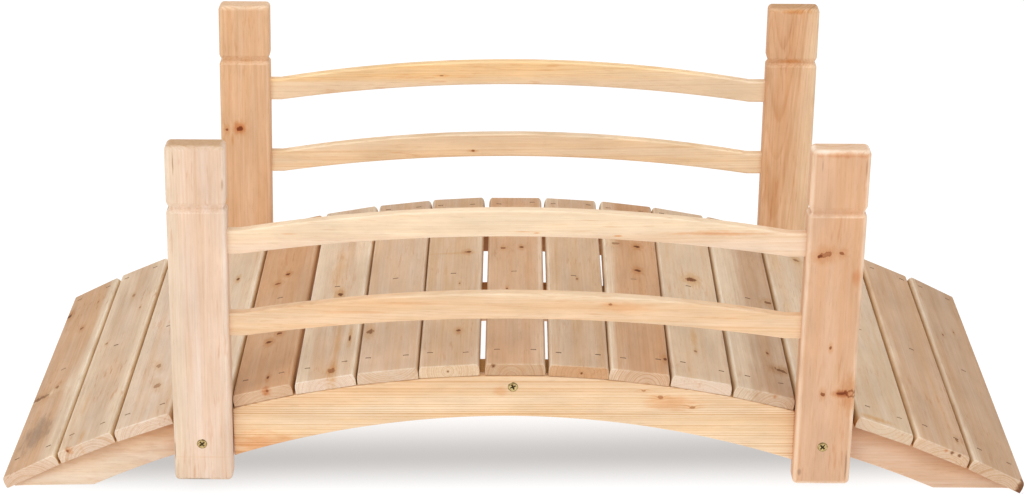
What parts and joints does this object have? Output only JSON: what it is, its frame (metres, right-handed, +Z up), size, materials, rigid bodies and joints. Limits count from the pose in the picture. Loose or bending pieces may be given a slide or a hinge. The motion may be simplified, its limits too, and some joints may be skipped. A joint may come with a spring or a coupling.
{
  "type": "arched garden footbridge",
  "caption": "Low arched wooden garden footbridge with planks across bowed stringers and a bowed two-rail railing between grooved posts on each side.",
  "frame": {"origin": "on the ground under the middle of the crest", "axes": "+X along the bridge to the right, +Y across it away from the front railing, +Z up"},
  "size_m": [1.5238, 0.736, 0.55],
  "materials": {
    "deck_wood": "bare sanded softwood",
    "post_wood": "bare sanded softwood",
    "rail_wood": "bare sanded softwood",
    "arch_wood": "bare sawn softwood",
    "stringer_wood": "bare sawn softwood",
    "screw_metal": "yellow zinc plated"
  },
  "bodies": {
    "root": {"plank_01": "deck_wood", "plank_02": "deck_wood", "plank_03": "deck_wood", "plank_04": "deck_wood", "plank_05": "deck_wood", "plank_06": "deck_wood", "plank_07": "deck_wood", "plank_08": "deck_wood", "plank_09": "deck_wood", "plank_10": "deck_wood", "plank_11": "deck_wood", "plank_12": "deck_wood", "plank_13": "deck_wood", "plank_14": "deck_wood", "plank_15": "deck_wood", "plank_16": "deck_wood", "plank_17": "deck_wood", "front_left_post": "post_wood", "front_right_post": "post_wood", "back_left_post": "post_wood", "back_right_post": "post_wood", "front_upper_rail": "rail_wood", "front_lower_rail": "rail_wood", "back_upper_rail": "rail_wood", "back_lower_rail": "rail_wood", "front_arch_board": "arch_wood", "back_arch_board": "arch_wood", "front_stringer": "stringer_wood", "middle_stringer": "stringer_wood", "back_stringer": "stringer_wood"}
  },
  "joints": []
}
